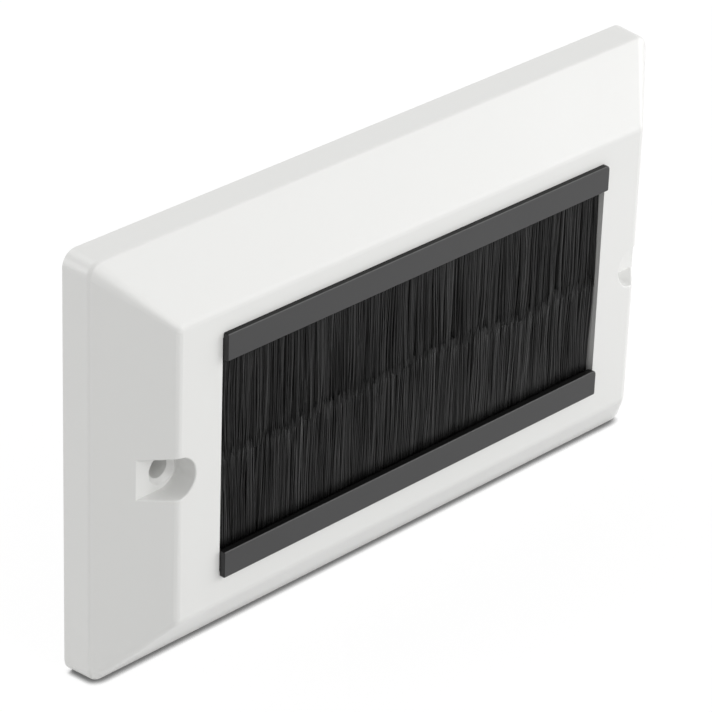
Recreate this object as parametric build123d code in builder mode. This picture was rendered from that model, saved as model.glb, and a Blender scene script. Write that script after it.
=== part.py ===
from build123d import *
import os
from random import Random

# A brush cable cover: a moulded double wall plate with a brush slot that cables pass through.
# Frame: +X to the right seen from the front, +Y into the wall, +Z up, the front faces -Y.
# The origin is the middle of the plate's back face, on the wall. All sizes are in millimetres.

# Plate, outside
plate_length = 146.0
plate_height = 86.0
plate_depth = 16.7
rim_depth = 6.2
rim_draft = 0.4
side_inset = 12.2
top_inset = 12.9
corner_radius = 3.0
panel_corner_radius = 1.0
rim_edge_radius = 0.9
panel_edge_radius = 2.0

# Plate, behind
wall = 2.2
rib_thickness = 1.4
rib_depth = 7.0
brace_places = (-37.5, -12.5, 12.5, 37.5)

# Fixing holes and the recesses that take the screw heads
fixing_centres = 120.6
fixing_hole_radius = 2.15
recess_centres = 121.6
recess_floor_radius = 3.95
recess_draft = 3.0
recess_depth = 5.0
recess_edge_radius = 0.3
countersink_radius = 3.1
countersink_angle = 90
boss_radius = 4.0
same_place = 0.01

# Opening for the brush
opening_length = 101.0
opening_height = 48.0
opening_lift = 0.8
collar_gap = 2.2

# Brush holders, one above the opening and one below
holder_length = 100.7
lip_height = 5.4
lip_proud = 1.15
holder_span = 50.0
lip_corner_radius = 0.3
lip_round_radius = 0.9
lip_edge_radius = 0.25
holder_play = 0.15
holder_front_wall = 0.6
holder_rear_wall = 1.2
holder_top_wall = 0.8
mouth_lip_height = 0.5
mouth_setback = 0.6
hook_places = (-42.0, -14.0, 14.0, 42.0)
hook_length = 6.0
hook_height = 1.0
hook_run = 2.6

# Brush strips: a folded metal channel, a wire, and the bristles folded over the wire
channel_width = 3.2
channel_sheet = 0.4
wire_radius = 0.55
wire_cover = 0.3
bristle_length = 100.2
bristle_play = 0.05

# Bristle curtain, shown as tufts
tufts = 84
ridge_depth = 0.3
slit_width = 0.16
slit_ends = (4.0, 16.0)
tip_spread = 0.55
seam_gap = 0.1
tuft_shift = 0.2
# Where upper and lower tips meet: pairs of X and height over the opening's middle
seam_line = (
    (-50.5, -1.0),
    (-34.0, -1.3),
    (-23.0, -0.4),
    (-10.0, -0.4),
    (1.5, 0.8),
    (11.7, 0.3),
    (23.5, -0.8),
    (35.0, -1.4),
    (41.0, 0.1),
    (50.5, -1.8),
)

# Worked out from the sizes above
panel_length = plate_length - 2 * side_inset
panel_height = plate_height - 2 * top_inset
panel_back = plate_depth - wall
bevel_depth = plate_depth - rim_depth
recess_floor = plate_depth - recess_depth
recess_run = plate_length / 2 - recess_centres / 2 + wall
lip_front = plate_depth + lip_proud
lip_outer = holder_span / 2
lip_inner = lip_outer - lip_height
mouth = lip_inner + mouth_setback
holder_top = opening_height / 2 - holder_play
hook_foot = holder_top - holder_top_wall / 2
channel_top = holder_top - holder_top_wall
channel_foot = mouth + mouth_lip_height
channel_front = plate_depth - holder_front_wall
channel_rear = channel_front - channel_width
holder_rear = channel_rear - holder_rear_wall
brush_front = channel_front - channel_sheet
brush_rear = channel_rear + channel_sheet
brush_middle = (brush_front + brush_rear) / 2
root_top = channel_top - channel_sheet
wire_height = root_top - wire_radius - wire_cover


def before_wall(distance):
    """The plane parallel to the wall, a distance in front of it."""
    return Plane.XZ.offset(distance)


def across(side, points):
    """YZ points from pairs of distance before the wall and height from the opening's middle."""
    return [(-distance, opening_lift + side * height) for distance, height in points]


def slant(inset):
    """Length of a bevel's slope, from the rim's front edge to the panel's edge."""
    return ((inset - rim_draft) ** 2 + bevel_depth**2) ** 0.5


def inner_inset(inset):
    """How far in from the plate's edge a bevel's inside meets the back of the panel."""
    return inset + wall * (slant(inset) - inset + rim_draft) / bevel_depth


def inner_rim_depth(inset):
    """How far before the wall a bevel's inside meets the inside of the rim."""
    rise = wall - rim_draft - wall * slant(inset) / bevel_depth
    return rim_depth + rise * bevel_depth / (inset - rim_draft)


def runs_to_wall(edge):
    """Whether a recess edge is one where the round end turns into a straight side."""
    return abs(abs(edge.center().X) - recess_centres / 2) < same_place


def seam_height(x):
    """Height of the wavy, jagged line where the upper and the lower bristle tips meet."""
    for (left, start), (right, end) in zip(seam_line, seam_line[1:]):
        if left <= x <= right:
            wave = start + (end - start) * (x - left) / (right - left)
    return opening_lift + wave + tip_draw.uniform(-tip_spread, tip_spread)


def save(piece, name):
    """Name a finished piece and write it to its own file."""
    piece.part.label = name
    export_step(piece.part, f"parts/{name}.step")


os.makedirs("parts", exist_ok=True)

# The space behind the faceplate, less the recess housings, screw bosses and ribs that stand in it
core_length = plate_length - 2 * wall
core_height = plate_height - 2 * wall
core_floor_length = plate_length - 2 * inner_inset(side_inset)
core_floor_height = plate_height - 2 * inner_inset(top_inset)
housing_radius = recess_floor_radius + wall
housing_floor = recess_floor - wall
collar_length = opening_length + 2 * collar_gap
collar_height = opening_height + 2 * collar_gap
rib_foot = panel_back - rib_depth

with BuildPart() as hollow:
    with BuildSketch(before_wall(0)):
        RectangleRounded(core_length, core_height, corner_radius - wall / 2)
    extrude(amount=inner_rim_depth(top_inset))
    with BuildSketch(before_wall(inner_rim_depth(top_inset))):
        RectangleRounded(core_length, core_height, corner_radius - wall / 2)
    with BuildSketch(before_wall(panel_back)):
        RectangleRounded(core_floor_length, core_floor_height, panel_corner_radius)
    loft(ruled=True)
    # housings round the screw recesses, open towards the ends as the recesses are
    with BuildSketch(before_wall(housing_floor)):
        for end in (-1, 1):
            with Locations((end * recess_centres / 2, 0)):
                Circle(housing_radius)
            with Locations((end * (recess_centres / 2 + recess_run / 2), 0)):
                Rectangle(recess_run, 2 * housing_radius)
    extrude(amount=plate_depth, mode=Mode.SUBTRACT)
    # bosses that carry the screws' pull to the wall
    with BuildSketch(before_wall(0)):
        with Locations((-fixing_centres / 2, 0), (fixing_centres / 2, 0)):
            Circle(boss_radius)
    extrude(amount=plate_depth, mode=Mode.SUBTRACT)
    # a stiffening frame round the opening, with braces out to the bevels
    with BuildSketch(before_wall(rib_foot)):
        with Locations((0, opening_lift)):
            Rectangle(collar_length + 2 * rib_thickness, collar_height + 2 * rib_thickness)
            Rectangle(collar_length, collar_height, mode=Mode.SUBTRACT)
        for x in brace_places:
            with Locations((x, plate_height / 2), (x, -plate_height / 2)):
                Rectangle(rib_thickness, plate_height - collar_height - rib_thickness)
        for end in (-1, 1):
            with Locations((end * collar_length, 0)):
                Rectangle(collar_length - rib_thickness, rib_thickness)
    extrude(amount=rib_depth + wall, mode=Mode.SUBTRACT)

with BuildPart() as faceplate:
    with BuildSketch(before_wall(0)):
        RectangleRounded(plate_length, plate_height, corner_radius)
    with BuildSketch(before_wall(rim_depth)):
        RectangleRounded(
            plate_length - 2 * rim_draft, plate_height - 2 * rim_draft, corner_radius - rim_draft
        )
    with BuildSketch(before_wall(plate_depth)):
        RectangleRounded(panel_length, panel_height, panel_corner_radius)
    loft(ruled=True)
    fillet(faceplate.faces().sort_by(Axis.Y)[0].edges(), panel_edge_radius)
    fillet(faceplate.edges().group_by(Axis.Y)[-3], rim_edge_radius)
    add(hollow.part, mode=Mode.SUBTRACT)
    # the opening for the brush
    with BuildSketch(before_wall(plate_depth)):
        with Locations((0, opening_lift)):
            Rectangle(opening_length, opening_height)
    extrude(amount=-plate_depth, mode=Mode.SUBTRACT)
    # U-shaped recesses, round towards the opening and running out through the end bevels
    with BuildSketch(before_wall(recess_floor)):
        for end in (-1, 1):
            with Locations((end * recess_centres / 2, 0)):
                Circle(recess_floor_radius)
            with Locations((end * (recess_centres / 2 + recess_run / 2), 0)):
                Rectangle(recess_run, 2 * recess_floor_radius)
    extrude(amount=2 * recess_depth, taper=-recess_draft, mode=Mode.SUBTRACT)
    recess_edges = faceplate.edges(Select.LAST).filter_by_position(Axis.Z, -housing_radius, housing_radius)
    recess_edges = recess_edges.filter_by_position(Axis.Y, -plate_depth, -recess_floor, (True, False))
    fillet([edge for edge in recess_edges if not runs_to_wall(edge)], recess_edge_radius)
    with Locations(before_wall(recess_floor)):
        with Locations((-fixing_centres / 2, 0), (fixing_centres / 2, 0)):
            CounterSinkHole(fixing_hole_radius, countersink_radius, recess_floor, countersink_angle)

save(faceplate, "faceplate")

holder_section = [
    (lip_front, lip_inner),
    (lip_front, lip_outer),
    (plate_depth, lip_outer),
    (plate_depth, holder_top),
    (holder_rear, holder_top),
    (holder_rear, mouth),
    (brush_rear - bristle_play, mouth),
    (brush_rear - bristle_play, channel_foot),
    (channel_rear, channel_foot),
    (channel_rear, channel_top),
    (channel_front, channel_top),
    (channel_front, channel_foot),
    (brush_front + bristle_play, channel_foot),
    (brush_front + bristle_play, mouth),
    (plate_depth, mouth),
    (plate_depth, lip_inner),
]
hook_section = [
    (panel_back, hook_foot),
    (panel_back, holder_top + hook_height),
    (panel_back - hook_run, holder_top),
    (panel_back - hook_run, hook_foot),
]
channel_section = [
    (channel_front, channel_foot),
    (channel_front, channel_top),
    (channel_rear, channel_top),
    (channel_rear, channel_foot),
    (brush_rear, channel_foot),
    (brush_rear, root_top),
    (brush_front, root_top),
    (brush_front, channel_foot),
]
root_section = [
    (brush_front, channel_foot),
    (brush_front, root_top),
    (brush_rear, root_top),
    (brush_rear, channel_foot),
]

# Tufts of bristles: where one ends and the next begins, their middles, and how high their tips meet
tip_draw = Random(11)
pitch = bristle_length / tufts
borders = [pitch * (i - tufts / 2 + tip_draw.uniform(-tuft_shift, tuft_shift)) for i in range(tufts + 1)]
borders[0], borders[-1] = -bristle_length / 2, bristle_length / 2
middles = [(left + right) / 2 for left, right in zip(borders, borders[1:])]
border_tips = [seam_height(x) for x in borders]
middle_tips = [seam_height(x) for x in middles]
front_ridges = [(borders[0], ridge_depth - brush_front)]
rear_ridges = [(borders[0], -brush_rear - ridge_depth)]
for middle, right in zip(middles, borders[1:]):
    front_ridges += [(middle, -brush_front), (right, ridge_depth - brush_front)]
    rear_ridges += [(middle, -brush_rear), (right, -brush_rear - ridge_depth)]

for place, side in (("upper", 1), ("lower", -1)):
    with BuildPart() as holder:
        with BuildSketch(Plane.YZ):
            with BuildLine():
                Polyline(across(side, holder_section), close=True)
            make_face()
        extrude(amount=holder_length / 2, both=True)
        # the photo shows both lips with one rounder corner, the top right one
        lip_ends = holder.edges().filter_by(Axis.Y).filter_by_position(Axis.Y, -lip_front, -plate_depth)
        lip_ends = lip_ends.sort_by(lambda edge: edge.center().X + edge.center().Z)
        fillet(lip_ends[-1], lip_round_radius)
        fillet(lip_ends[:-1], lip_corner_radius)
        fillet(holder.faces().sort_by(Axis.Y)[0].edges(), lip_edge_radius)
        for x in hook_places:
            with BuildSketch(Plane.YZ.offset(x)):
                with BuildLine():
                    Polyline(across(side, hook_section), close=True)
                make_face()
            extrude(amount=hook_length / 2, both=True)
    save(holder, f"{place}_holder")

    with BuildPart() as channel:
        with BuildSketch(Plane.YZ):
            with BuildLine():
                Polyline(across(side, channel_section), close=True)
            make_face()
        extrude(amount=holder_length / 2, both=True)
    save(channel, f"{place}_channel")

    with BuildPart() as wire:
        with BuildSketch(Plane.YZ):
            with Locations((-brush_middle, opening_lift + side * wire_height)):
                Circle(wire_radius)
        extrude(amount=bristle_length / 2, both=True)
    save(wire, f"{place}_wire")

    # the bristles: a ridged curtain of tufts with uneven tips, and a root folded over the wire
    foot = opening_lift + side * channel_foot
    comb = [(borders[0], foot)]
    for i, middle in enumerate(middles):
        slit_end = border_tips[i + 1] + side * tip_draw.uniform(*slit_ends)
        comb.append((borders[i] + slit_width / 2, border_tips[i] + side * seam_gap))
        comb.append((middle, middle_tips[i] + side * seam_gap))
        comb.append((borders[i + 1] - slit_width / 2, border_tips[i + 1] + side * seam_gap))
        comb.append((borders[i + 1], slit_end))
    comb[-1] = (borders[-1], foot)

    with BuildPart() as bristles:
        with BuildSketch(before_wall(brush_rear)):
            with BuildLine():
                Polyline(comb, close=True)
            make_face()
        extrude(amount=brush_front - brush_rear)
        with BuildSketch(Plane.XY):
            with BuildLine():
                Polyline(front_ridges + rear_ridges[::-1], close=True)
            make_face()
        extrude(amount=plate_height / 2, both=True, mode=Mode.INTERSECT)
        with BuildSketch(Plane.YZ):
            with BuildLine():
                Polyline(across(side, root_section), close=True)
            make_face()
            with Locations((-brush_middle, opening_lift + side * wire_height)):
                Circle(wire_radius, mode=Mode.SUBTRACT)
        extrude(amount=bristle_length / 2, both=True)
    save(bristles, f"{place}_bristles")
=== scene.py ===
import math
from random import Random

import bmesh
import bpy
from mathutils import Matrix, Vector


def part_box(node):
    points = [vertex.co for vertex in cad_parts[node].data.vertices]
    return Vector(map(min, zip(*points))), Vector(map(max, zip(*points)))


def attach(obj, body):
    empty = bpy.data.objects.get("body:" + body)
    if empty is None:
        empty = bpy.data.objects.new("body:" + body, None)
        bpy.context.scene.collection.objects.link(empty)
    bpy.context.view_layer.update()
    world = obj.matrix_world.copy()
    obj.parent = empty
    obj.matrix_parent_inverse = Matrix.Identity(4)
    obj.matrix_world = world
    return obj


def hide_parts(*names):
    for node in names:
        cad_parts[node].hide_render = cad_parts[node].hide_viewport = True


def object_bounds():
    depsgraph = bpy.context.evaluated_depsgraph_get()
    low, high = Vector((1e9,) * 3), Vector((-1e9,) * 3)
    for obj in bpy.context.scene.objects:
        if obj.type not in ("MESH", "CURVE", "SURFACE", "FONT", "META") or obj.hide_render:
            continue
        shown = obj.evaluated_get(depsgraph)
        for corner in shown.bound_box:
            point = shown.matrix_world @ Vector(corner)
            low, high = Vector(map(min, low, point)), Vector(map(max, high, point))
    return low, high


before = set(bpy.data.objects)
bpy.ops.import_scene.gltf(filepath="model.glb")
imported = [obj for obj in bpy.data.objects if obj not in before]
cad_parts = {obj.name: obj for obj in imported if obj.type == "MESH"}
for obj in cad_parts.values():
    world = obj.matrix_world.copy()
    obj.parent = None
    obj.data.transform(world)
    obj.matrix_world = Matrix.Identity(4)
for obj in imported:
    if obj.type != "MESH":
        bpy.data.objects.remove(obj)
cad_low, cad_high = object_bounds()

# A brush cable cover: white moulded wall plate, black brush strips, in metres.
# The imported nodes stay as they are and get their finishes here. Only the two bristle curtains,
# plain ridged solids in the frame, are replaced by curtains of single filaments.

MM = 0.001
PURE_WHITE = (1.0, 1.0, 1.0, 1.0)

# Camera, as fitted to the photograph
PHOTO_SIDE_PX = 712
FOCAL_PX = 3948.0
SENSOR_MM = 36.0
CAMERA_YAW = math.radians(-46.4)
CAMERA_PITCH = math.radians(28.78)
CAMERA_ROLL = math.radians(2.01)
CAMERA_DISTANCE = 0.7452
CAMERA_TARGET = Vector((0.00079, 0.0, -0.00458))
CAMERA_NEAREST = 0.02
CAMERA_FURTHEST = 30.0


def add_object(name, data):
    """A new object for a mesh, a lamp or a camera, at the origin."""
    piece = bpy.data.objects.new(name, data)
    bpy.context.scene.collection.objects.link(piece)
    return piece


def add_mesh_object(name, bm):
    """A new object for a finished bmesh, which is freed."""
    mesh = bpy.data.meshes.new(name)
    bm.to_mesh(mesh)
    bm.free()
    return add_object(name, mesh)


def looking(place, target, roll=0.0):
    """Where a camera or a lamp stands, with its -Z turned from its place towards a target."""
    turn = (target - place).to_track_quat("-Z", "Y").to_matrix().to_4x4()
    return Matrix.Translation(place) @ turn @ Matrix.Rotation(roll, 4, "Z")


def make_camera():
    level = math.cos(CAMERA_PITCH)
    back = Vector((math.sin(CAMERA_YAW) * level, -math.cos(CAMERA_YAW) * level, math.sin(CAMERA_PITCH)))
    place = CAMERA_TARGET + back * CAMERA_DISTANCE
    data = bpy.data.cameras.new("camera")
    data.sensor_width = SENSOR_MM
    data.lens = FOCAL_PX / PHOTO_SIDE_PX * SENSOR_MM
    data.clip_start = CAMERA_NEAREST
    data.clip_end = CAMERA_FURTHEST
    camera = add_object("camera", data)
    camera.matrix_world = looking(place, CAMERA_TARGET, CAMERA_ROLL)
    bpy.context.scene.camera = camera


# Nodes that the light and the materials share

def calculate(tree, operation, first, second):
    """A Math node on two sockets, or on a socket and a number."""
    node = tree.nodes.new("ShaderNodeMath")
    node.operation = operation
    tree.links.new(first, node.inputs[0])
    if isinstance(second, float):
        node.inputs[1].default_value = second
    else:
        tree.links.new(second, node.inputs[1])
    return node.outputs[0]


def plus(tree, first, second):
    return calculate(tree, "ADD", first, second)


def times(tree, first, second):
    return calculate(tree, "MULTIPLY", first, second)


def coloured(tree, kind, colour):
    """A simple shader of one colour."""
    shader = tree.nodes.new(kind)
    shader.inputs["Color"].default_value = colour
    return shader


def backdrop_rays(tree):
    """1 for a ray that looks at the backdrop: from the camera, in a reflection or through a piece."""
    path = tree.nodes.new("ShaderNodeLightPath").outputs
    indirect = calculate(tree, "MAXIMUM", path["Is Glossy Ray"], path["Is Transmission Ray"])
    return calculate(tree, "MAXIMUM", path["Is Camera Ray"], indirect)


def show_apart(tree, lighting, shown, out):
    """Light the object with one shader, and show another where a ray looks at the backdrop."""
    mix = tree.nodes.new("ShaderNodeMixShader")
    tree.links.new(backdrop_rays(tree), mix.inputs["Fac"])
    tree.links.new(lighting.outputs[0], mix.inputs[1])
    tree.links.new(shown.outputs[0], mix.inputs[2])
    tree.links.new(mix.outputs[0], out.inputs["Surface"])


# Light: a pale dome and four soft square lamps that face the middle of the plate. One stands in front,
# one in front at the right, one behind the plate above it and one behind it at the left.

FILL_TINT = (1.0, 0.998, 0.99, 1.0)
FILL_STRENGTH = 0.435
LAMP_SIDE = 1.1

# Each lamp's place in metres and its power in watts
LAMPS = {
    "front_lamp": ((0.15, -1.62, 0.78), 11.0),
    "top_lamp": ((0.0, 0.88, 1.52), 7.3),
    "left_lamp": ((-1.3, 1.15, 0.25), 11.7),
    "right_lamp": ((1.5, -0.85, 0.45), 13.3),
}


def make_lamp(name, place, power):
    data = bpy.data.lights.new(name, "AREA")
    data.shape = "SQUARE"
    data.size = LAMP_SIDE
    data.energy = power
    lamp = add_object(name, data)
    lamp.matrix_world = looking(Vector(place), Vector())


def make_light():
    world = bpy.data.worlds.new("dome")
    bpy.context.scene.world = world
    world.use_nodes = True
    tree = world.node_tree
    tree.nodes.clear()
    out = tree.nodes.new("ShaderNodeOutputWorld")
    fill = coloured(tree, "ShaderNodeBackground", FILL_TINT)
    fill.inputs["Strength"].default_value = FILL_STRENGTH
    backdrop = coloured(tree, "ShaderNodeBackground", PURE_WHITE)
    show_apart(tree, fill, backdrop, out)
    for name, (place, power) in LAMPS.items():
        make_lamp(name, place, power)


# Materials

def grey(value):
    return value, value, value


# Base colours: a pair is what the shades of a finish move between
WHITE_PLASTIC = (0.795, 0.797, 0.782), (0.822, 0.822, 0.812)
# the black plastic's sides and fronts are shaded and lit copies of one colour: painted shade and painted
# light
BLACK_SHADED_SIDES = grey(0.005), grey(0.007)
BLACK_LIT_FRONTS = (0.064, 0.064, 0.065), (0.074, 0.074, 0.075)
# a painted highlight for the lips' rounded upper edges
BLACK_EDGE_HIGHLIGHT = grey(0.11)
FILAMENT_BLACK = grey(0.004), grey(0.045)
FILAMENT_ROOT_SHADOW = grey(0.001)
FILAMENT_TIP = grey(0.05)
ZINC = (0.42, 0.43, 0.44), (0.66, 0.67, 0.68)
STEEL = (0.38, 0.38, 0.39), (0.58, 0.58, 0.6)

# How fine the patterns are, per metre, and along X, Y and Z for a streak
GRAIN_SCALE = 2600.0
WAVE_SCALE = 34.0
CLOUD_SCALE = 60.0
SHADE_SCALE = 22.0
SPANGLE_SCALE = 500.0
FILAMENT_STREAK = (2200.0, 2200.0, 90.0)
METAL_STREAK = (60.0, 2400.0, 2400.0)

# How deep the patterns are, in metres
GRAIN_DEPTH = 0.00002
STREAK_DEPTH = 0.00001


def start_material(name):
    """A material with an empty tree, and its output."""
    material = bpy.data.materials.new(name)
    material.use_nodes = True
    tree = material.node_tree
    tree.nodes.clear()
    return material, tree, tree.nodes.new("ShaderNodeOutputMaterial")


def finish_material(name):
    """A material with its tree, its Principled shader and its object coordinates."""
    material, tree, out = start_material(name)
    shader = tree.nodes.new("ShaderNodeBsdfPrincipled")
    tree.links.new(shader.outputs["BSDF"], out.inputs["Surface"])
    coords = tree.nodes.new("ShaderNodeTexCoord")
    return material, tree, shader, coords.outputs["Object"]


def start_group(name, inputs, outputs):
    """A shader node group that takes a vector and named values: its tree, inputs and outputs."""
    group = bpy.data.node_groups.new(name, "ShaderNodeTree")
    group.interface.new_socket(name="Vector", in_out="INPUT", socket_type="NodeSocketVector")
    for label, value in inputs.items():
        socket = group.interface.new_socket(name=label, in_out="INPUT", socket_type="NodeSocketFloat")
        socket.default_value = value
    for label in outputs:
        group.interface.new_socket(name=label, in_out="OUTPUT", socket_type="NodeSocketFloat")
    source = group.nodes.new("NodeGroupInput")
    result = group.nodes.new("NodeGroupOutput")
    return group, source.outputs, result.inputs


def use_group(tree, group, vector, **values):
    node = tree.nodes.new("ShaderNodeGroup")
    node.node_tree = group
    tree.links.new(vector, node.inputs["Vector"])
    for name, value in values.items():
        node.inputs[name].default_value = value
    return node.outputs


def noise(tree, vector, scale, detail):
    node = tree.nodes.new("ShaderNodeTexNoise")
    node.inputs["Scale"].default_value = scale
    node.inputs["Detail"].default_value = detail
    tree.links.new(vector, node.inputs["Vector"])
    return node.outputs["Fac"]


def streaks(tree, vector, scales, detail):
    """Noise that is finer along one axis than along another."""
    node = tree.nodes.new("ShaderNodeMapping")
    node.inputs["Scale"].default_value = scales
    tree.links.new(vector, node.inputs["Vector"])
    return noise(tree, node.outputs["Vector"], 1.0, detail)


def ramp(tree, value, low, high, out_low, out_high):
    """Map a value from one range to another, held at the ends."""
    node = tree.nodes.new("ShaderNodeMapRange")
    node.inputs["From Min"].default_value = low
    node.inputs["From Max"].default_value = high
    node.inputs["To Min"].default_value = out_low
    node.inputs["To Max"].default_value = out_high
    tree.links.new(value, node.inputs["Value"])
    return node.outputs["Result"]


def blend(tree, fac, first, second):
    """A colour between two others, each of them a socket or three values."""
    node = tree.nodes.new("ShaderNodeMix")
    node.data_type = "RGBA"
    tree.links.new(fac, node.inputs["Factor"])
    for socket, colour in ((node.inputs["A"], first), (node.inputs["B"], second)):
        if isinstance(colour, tuple):
            socket.default_value = (*colour, 1.0)
        else:
            tree.links.new(colour, socket)
    return node.outputs["Result"]


def bump(tree, shader, height, distance, strength):
    node = tree.nodes.new("ShaderNodeBump")
    node.inputs["Distance"].default_value = distance
    node.inputs["Strength"].default_value = strength
    tree.links.new(height, node.inputs["Height"])
    tree.links.new(node.outputs["Normal"], shader.inputs["Normal"])


def attribute(tree, name):
    node = tree.nodes.new("ShaderNodeAttribute")
    node.attribute_name = name
    return node.outputs["Fac"]


def moulded_skin_group():
    """Surface of a moulded plastic part: fine spark texture, slow waves of shrinkage and a cloudy sheen."""
    inputs = {"Grain": 0.3, "Waves": 0.5, "Roughness": 0.4, "Cloud": 0.05}
    group, given, made = start_group("moulded_skin", inputs, ("Height", "Sheen", "Shade"))
    vector = given["Vector"]
    grain = times(group, noise(group, vector, GRAIN_SCALE, 2.0), given["Grain"])
    waves = times(group, noise(group, vector, WAVE_SCALE, 1.0), given["Waves"])
    group.links.new(plus(group, grain, waves), made["Height"])
    cloud = ramp(group, noise(group, vector, CLOUD_SCALE, 4.0), 0.3, 0.7, -1.0, 1.0)
    cloud = times(group, cloud, given["Cloud"])
    group.links.new(plus(group, given["Roughness"], cloud), made["Sheen"])
    group.links.new(noise(group, vector, SHADE_SCALE, 3.0), made["Shade"])
    return group


def white_plastic(skin):
    material, tree, shader, coords = finish_material("satin_white_plastic")
    made = use_group(tree, skin, coords, Grain=0.25, Waves=0.6, Roughness=0.36, Cloud=0.03)
    tree.links.new(blend(tree, made["Shade"], *WHITE_PLASTIC), shader.inputs["Base Color"])
    tree.links.new(made["Sheen"], shader.inputs["Roughness"])
    shader.inputs["IOR"].default_value = 1.5
    bump(tree, shader, made["Height"], GRAIN_DEPTH, 0.6)
    return material


def black_plastic(skin):
    """Black moulded strip with painted light and shade: fronts paler, ends less, sides darker, and a
    painted highlight on the lips' upper edges.
    """
    material, tree, shader, coords = finish_material("satin_black_plastic")
    made = use_group(tree, skin, coords, Grain=0.6, Waves=0.3, Roughness=0.42, Cloud=0.04)
    geometry = tree.nodes.new("ShaderNodeNewGeometry")
    split = tree.nodes.new("ShaderNodeSeparateXYZ")
    tree.links.new(geometry.outputs["Normal"], split.inputs[0])
    across, into, up = split.outputs
    # painted light and shade by the way a face turns: fronts and, half as much, ends are painted paler, the
    # rest is painted dark
    front = ramp(tree, into, -0.97, -0.8, 1.0, 0.0)
    ends = ramp(tree, times(tree, across, across), 0.3, 0.8, 0.0, 0.55)
    # painted highlight along each lip's rounded upper edge
    painted_edge_highlight = ramp(tree, times(tree, into, up), -0.45, -0.15, 1.0, 0.0)
    shaded_side_colour = blend(tree, made["Shade"], *BLACK_SHADED_SIDES)
    lit_front_colour = blend(tree, made["Shade"], *BLACK_LIT_FRONTS)
    painted_facing_light = blend(tree, plus(tree, front, ends), shaded_side_colour, lit_front_colour)
    tree.links.new(blend(tree, painted_edge_highlight, painted_facing_light, BLACK_EDGE_HIGHLIGHT), shader.inputs["Base Color"])
    tree.links.new(made["Sheen"], shader.inputs["Roughness"])
    shader.inputs["Specular IOR Level"].default_value = 0.15
    bump(tree, shader, made["Height"], GRAIN_DEPTH, 0.7)
    return material


def bristle_fibre():
    """Black nylon filaments: each its own tone, with painted shade dark at the root, and paler at the cut
    tip.
    """
    material, tree, shader, coords = finish_material("black_bristle_fibre")
    tone = attribute(tree, "filament_tone")
    along = attribute(tree, "filament_along")
    streak = streaks(tree, coords, FILAMENT_STREAK, 2.0)
    shade = plus(tree, times(tree, tone, 0.75), times(tree, streak, 0.25))
    # painted shade near the roots, where the strip's mouth would shade them
    root = ramp(tree, along, 0.05, 0.2, 1.0, 0.0)
    tip = ramp(tree, along, 0.9, 1.0, 0.0, 0.3)
    body = blend(tree, root, blend(tree, shade, *FILAMENT_BLACK), FILAMENT_ROOT_SHADOW)
    tree.links.new(blend(tree, tip, body, FILAMENT_TIP), shader.inputs["Base Color"])
    tree.links.new(ramp(tree, tone, 0.0, 1.0, 0.36, 0.5), shader.inputs["Roughness"])
    shader.inputs["Specular IOR Level"].default_value = 0.3
    bump(tree, shader, streak, STREAK_DEPTH, 0.5)
    return material


def metal_group():
    """Drawn or rolled metal: streaks along X and soft blotches."""
    inputs = {"Roughness": 0.35, "Spangle": 0.5}
    group, given, made = start_group("rolled_metal", inputs, ("Shade", "Sheen", "Height"))
    streak = streaks(group, given["Vector"], METAL_STREAK, 3.0)
    cells = group.nodes.new("ShaderNodeTexVoronoi")
    cells.inputs["Scale"].default_value = SPANGLE_SCALE
    group.links.new(given["Vector"], cells.inputs["Vector"])
    spangle = times(group, cells.outputs["Distance"], given["Spangle"])
    group.links.new(plus(group, times(group, streak, 0.6), spangle), made["Shade"])
    rough = plus(group, given["Roughness"], ramp(group, streak, 0.3, 0.7, -0.06, 0.06))
    group.links.new(rough, made["Sheen"])
    group.links.new(streak, made["Height"])
    return group


def metal(name, group, colours, roughness, spangle):
    material, tree, shader, coords = finish_material(name)
    made = use_group(tree, group, coords, Roughness=roughness, Spangle=spangle)
    tree.links.new(blend(tree, made["Shade"], *colours), shader.inputs["Base Color"])
    tree.links.new(made["Sheen"], shader.inputs["Roughness"])
    shader.inputs["Metallic"].default_value = 1.0
    bump(tree, shader, made["Height"], STREAK_DEPTH, 0.5)
    return material


# Bristles: each curtain is a few thousand filaments, grown from their roots to the seam. Sizes are in mm.

# Where the filaments stand: how many in a curtain, the share of its depth from one to the next,
# and how far inside the curtain's root edge they start
FILAMENTS = 6100
DEPTH_STEP = 0.618034
ROOT_INSET = 0.6

# One filament: its sides and radius, how far its tip narrows, and where along it its rings are
FILAMENT_SIDES = 3
FILAMENT_RADIUS = 0.1
TIP_TAPER = 0.55
STATIONS = (0.0, 0.16, 0.38, 0.6, 0.82, 1.0)

# How far the tips pass the seam in front, and how much further at the back
TIP_OVERLAP = 0.35
BACK_OVERLAP = 2.2

# How the filaments bend: how far the last ones flare at the ends, how late a filament leans over,
# how strongly the outer rows follow their lock, and how far any may leave the curtain's own box
END_FLARE = 0.5
FLARE_POWER = 9
LEAN_POWER = 1.4
FOLLOW_GAIN = 1.2
FOLLOW_POWER = 1.3
BEND_OUT = 0.3

# Locks of filaments that stick together. Each has one of the widths, made smaller or larger a little.
# A single value is how widely the locks spread about zero, and a pair is a range.
LOCK_WIDTHS = (0.4, 0.8, 1.2, 2.0)
LOCK_WIDTH_FACTOR = (0.8, 1.2)
LOCK_LEAN = 0.45
LOCK_BOW = 0.3
LOCK_SWAY = 0.12
LOCK_PULL = (0.15, 0.65)
LOCK_REACH = 0.18
LOCK_FORWARD = (-0.2, 0.2)
LOCK_SHADE = (-0.15, 0.2)

# How widely single filaments spread from their lock
TIP_SPREAD = 0.35
LEAN_SPREAD = 0.15
BOW_SPREAD = 0.07
FORWARD_SPREAD = 0.2
STRAY_SHARE = 0.1
STRAY_LOOSENESS = 3.0

# Shades, from 0 for black to 1 for the palest filament
SHADE_POWER = 1.6
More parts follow.
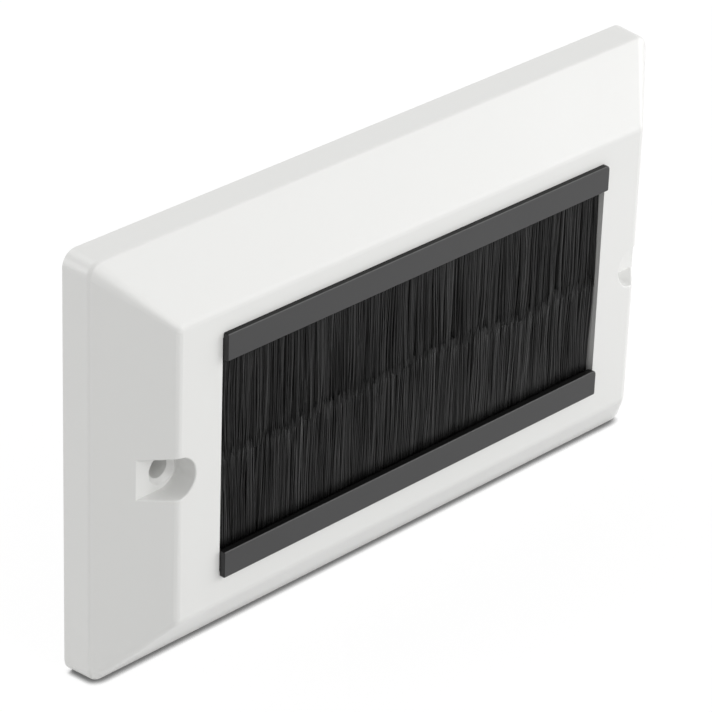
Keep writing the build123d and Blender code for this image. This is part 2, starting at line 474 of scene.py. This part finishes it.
# The next two add painted light: the lower curtain is made paler, and each curtain paler towards its right
# end and darker towards its left.
LOWER_PAINTED_LIGHT = 0.42
RIGHT_PAINTED_LIGHT = 0.1

# Where upper and lower tips meet: pairs of X and height over the opening's middle, which is itself
# a little above the middle of the plate
OPENING_LIFT = 0.8
SEAM_LINE = (
    (-50.5, -1.0),
    (-34.0, -1.3),
    (-23.0, -0.4),
    (-10.0, -0.4),
    (1.5, 0.8),
    (11.7, 0.3),
    (23.5, -0.8),
    (35.0, -1.4),
    (41.0, 0.1),
    (50.5, -1.8),
)


def seam_height(x):
    """Height of the wavy line where upper and lower tips meet."""
    spans = zip(SEAM_LINE, SEAM_LINE[1:])
    (left, start), (right, end) = next(span for span in spans if x <= span[1][0])
    return OPENING_LIFT + start + (end - start) * (x - left) / (right - left)


def make_locks(draw, low_x, high_x):
    """Locks side by side: each has its place, lean, bow, pull and length of its own."""
    locks = []
    x = low_x
    while x < high_x:
        width = draw.choice(LOCK_WIDTHS) * draw.uniform(*LOCK_WIDTH_FACTOR)
        locks.append({
            "middle": x + width / 2,
            "width": width,
            "lean": draw.gauss(0.0, LOCK_LEAN),
            "bow": draw.gauss(0.0, LOCK_BOW),
            "sway": draw.gauss(0.0, LOCK_SWAY),
            "pull": draw.uniform(*LOCK_PULL),
            "reach": draw.gauss(0.0, LOCK_REACH),
            "forward": draw.uniform(*LOCK_FORWARD),
            "shade": draw.uniform(*LOCK_SHADE),
        })
        x += width
    return locks


def filament_line(draw, lock, root, side, room):
    """Centre points of one filament in metres, root to tip, bent along with the lock that it sticks to."""
    low, high = room
    looseness = STRAY_LOOSENESS if draw.random() < STRAY_SHARE else 1.0
    # only the outer rows stick together in locks, and the straight rows between them close the gaps
    depth = (root.y - low.y) / (high.y - low.y)
    follow = min(1.0, FOLLOW_GAIN * abs(2.0 * depth - 1.0) ** FOLLOW_POWER)
    # the rows at the back reach further past the seam, so that little shows through between the tips
    overlap = TIP_OVERLAP + BACK_OVERLAP * depth
    tip_z = seam_height(root.x) + side * (lock["reach"] - overlap + draw.gauss(0.0, TIP_SPREAD))
    shift = follow * ((lock["middle"] - root.x) * lock["pull"] + lock["lean"])
    shift += draw.gauss(0.0, LEAN_SPREAD) * looseness
    # the last filaments at each end lean out towards the opening's side walls
    flare = END_FLARE * (root.x / high.x) ** FLARE_POWER
    bow = follow * lock["bow"] + draw.gauss(0.0, BOW_SPREAD) * looseness
    forward = lock["forward"] + draw.gauss(0.0, FORWARD_SPREAD)
    points = []
    for t in STATIONS:
        sway = follow * lock["sway"] * math.sin(math.tau * t)
        point = Vector((
            root.x + shift * t**LEAN_POWER + flare * math.sqrt(t) + bow * math.sin(math.pi * t) + sway,
            root.y + forward * t,
            root.z + (tip_z - root.z) * t,
        ))
        points.append(Vector([min(max(c, a), b) for c, a, b in zip(point, low, high)]) * MM)
    return points


def plan_filaments(draw, node, side):
    """Lines and shades of the filaments that fill the place of one bristle node."""
    edge = Vector((1.0, 1.0, 0.0)) * FILAMENT_RADIUS
    low, high = (Vector(corner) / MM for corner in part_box(node))
    low, high = low + edge, high - edge
    outward = Vector((BEND_OUT, BEND_OUT, 0.0))
    room = (low - outward, high + outward)
    root_z = (high.z - ROOT_INSET) if side > 0 else (low.z + ROOT_INSET)
    locks = make_locks(draw, low.x, high.x)
    lines = []
    shades = []
    for i in range(FILAMENTS):
        # roots stand evenly along the strip, and neighbours stand at different depths
        across, into = (i + draw.random()) / FILAMENTS, i * DEPTH_STEP % 1.0
        root = Vector((low.x + (high.x - low.x) * across, low.y + (high.y - low.y) * into, root_z))
        lock = min(locks, key=lambda each: abs(each["middle"] - root.x) / each["width"])
        lines.append(filament_line(draw, lock, root, side, room))
        # the lower curtain's and the right end's paler shades are painted light
        shade = draw.random() ** SHADE_POWER + lock["shade"] + RIGHT_PAINTED_LIGHT * root.x / room[1].x
        shade += LOWER_PAINTED_LIGHT if side < 0 else 0.0
        shades.append(min(max(shade, 0.0), 1.0))
    return lines, shades


def bristle_curtain(name, node, side, seed):
    """A curtain of filaments in the place of one bristle node. side is 1 above, -1 below."""
    draw = Random(seed)
    lines, shades = plan_filaments(draw, node, side)
    bm = bmesh.new()
    number = bm.verts.layers.int.new("number")
    tone = bm.verts.layers.float.new("filament_tone")
    along = bm.verts.layers.float.new("filament_along")
    for i, line in enumerate(lines):
        place = Matrix.Translation(line[0]) @ Matrix.Rotation(draw.uniform(0, math.tau), 4, "Z")
        ring = bmesh.ops.create_circle(
            bm, cap_ends=True, segments=FILAMENT_SIDES, radius=FILAMENT_RADIUS * MM, matrix=place
        )["verts"]
        for v in ring:
            v[number] = i
            v[tone] = shades[i]
    # all filaments grow together, and with the edges in the region no face is left inside them
    region = bm.faces[:] + bm.edges[:]
    for level in range(1, len(STATIONS)):
        taper = TIP_TAPER if level == len(STATIONS) - 1 else 1.0
        grown = bmesh.ops.extrude_face_region(bm, geom=region)["geom"]
        region = [g for g in grown if not isinstance(g, bmesh.types.BMVert)]
        for v in (g for g in grown if isinstance(g, bmesh.types.BMVert)):
            line = lines[v[number]]
            v.co = line[level] + (v.co - line[level - 1]) * taper
            v[along] = STATIONS[level]
    bmesh.ops.recalc_face_normals(bm, faces=bm.faces[:])
    for face in bm.faces:
        face.smooth = True
    return add_mesh_object(name, bm)


# Stage: a pale floor that shows white and keeps a soft shadow, with a painted contact shadow where the
# plate touches it

FLOOR_HALF_SIDE = 6.0
FLOOR_LIGHT = (0.69, 0.69, 0.69, 1.0)
FLOOR_SHADOW = (0.1, 0.1, 0.1, 1.0)
FLOOR_GLOW = 0.93
CONTACT_GLOW = 0.1
CONTACT_REACH = 0.0016
CONTACT_SAMPLES = 12


def floor_material():
    material, tree, out = start_material("pale_floor")
    # painted contact shadow: near the plate, ambient occlusion dims the floor's white glow
    painted_contact_shadow = tree.nodes.new("ShaderNodeAmbientOcclusion")
    painted_contact_shadow.samples = CONTACT_SAMPLES
    painted_contact_shadow.inputs["Distance"].default_value = CONTACT_REACH
    glow = coloured(tree, "ShaderNodeEmission", PURE_WHITE)
    strength = ramp(tree, painted_contact_shadow.outputs["AO"], 0.3, 0.8, CONTACT_GLOW, FLOOR_GLOW)
    tree.links.new(strength, glow.inputs["Strength"])
    shaded = coloured(tree, "ShaderNodeBsdfDiffuse", FLOOR_SHADOW)
    shown = tree.nodes.new("ShaderNodeAddShader")
    tree.links.new(shaded.outputs[0], shown.inputs[0])
    tree.links.new(glow.outputs[0], shown.inputs[1])
    lighting = coloured(tree, "ShaderNodeBsdfDiffuse", FLOOR_LIGHT)
    show_apart(tree, lighting, shown, out)
    return material


def make_floor():
    bm = bmesh.new()
    level = Matrix.Translation((0.0, 0.0, cad_low[2]))
    bmesh.ops.create_grid(bm, x_segments=1, y_segments=1, size=FLOOR_HALF_SIDE, matrix=level)
    floor = add_mesh_object("floor", bm)
    floor.data.materials.append(floor_material())


def dress(node, material):
    """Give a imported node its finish."""
    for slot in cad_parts[node].material_slots:
        slot.material = material


make_camera()
make_light()
make_floor()

skin = moulded_skin_group()
rolled = metal_group()
white = white_plastic(skin)
black = black_plastic(skin)
fibre = bristle_fibre()
zinc = metal("galvanised_strip", rolled, ZINC, 0.36, 0.6)
steel = metal("drawn_wire", rolled, STEEL, 0.3, 0.1)

dress("faceplate", white)
for place, side, seed in (("upper", 1, 21), ("lower", -1, 22)):
    dress(f"{place}_holder", black)
    dress(f"{place}_channel", zinc)
    dress(f"{place}_wire", steel)
    curtain = bristle_curtain(f"{place}_filaments", f"{place}_bristles", side, seed)
    curtain.data.materials.append(fibre)
    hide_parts(f"{place}_bristles")
    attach(curtain, "root")

bpy.context.scene.view_settings.view_transform = "Standard"
